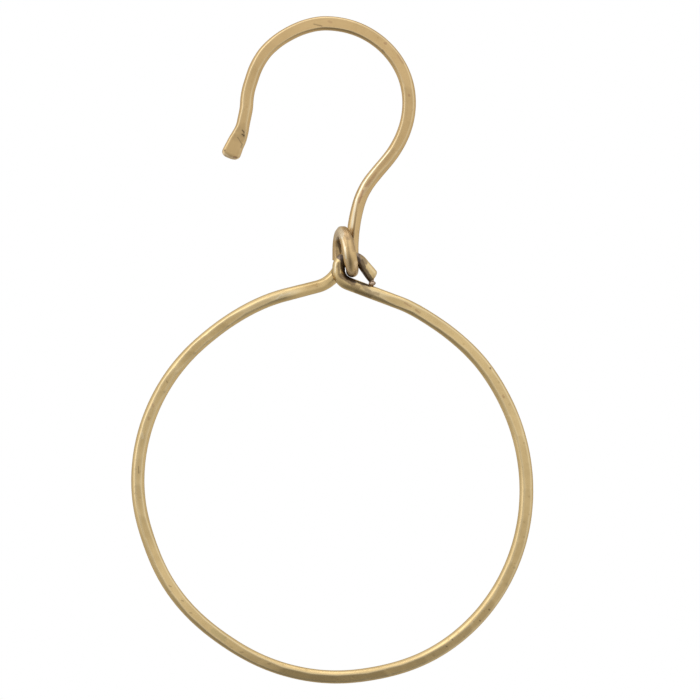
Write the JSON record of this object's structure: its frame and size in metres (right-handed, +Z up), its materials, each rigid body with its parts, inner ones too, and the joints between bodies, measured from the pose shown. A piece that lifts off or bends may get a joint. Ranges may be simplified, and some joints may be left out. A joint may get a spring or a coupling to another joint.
{
  "type": "hook ring",
  "caption": "Hand-bent brass wire hook for a closet rail, linked to a wire ring that swings on its coil and holds scarves or ties.",
  "frame": {"origin": "inner top of the hook's crook, where the rail that it hangs on bears", "axes": "+Z up, from the ring to the crook; +X to the right seen from the front, with the crook's mouth opening to -X; +Y to the back, away from the viewer"},
  "size_m": [0.1283, 0.0152, 0.2136],
  "materials": {
    "hook_brass": "hammered and satin, lightly aged",
    "ring_brass": "hammered and satin, lightly aged, heat-marked near the eye",
    "bead_filler": "cast surface of melted filler",
    "braze_filler": "cast surface of melted filler, darkened"
  },
  "bodies": {
    "hook": {"hook_wire": "hook_brass"},
    "ring": {"ring_wire": "ring_brass", "eye_closing_bead": "bead_filler", "ring_end_braze": "braze_filler"}
  },
  "joints": [
    {"name": "ring_swing", "type": "hinge", "parent": "hook", "child": "ring", "pos_m": [0.00794, -0.0056, -0.07272], "axis": [1, 0, 0], "range_deg": [-28, 13]}
  ]
}
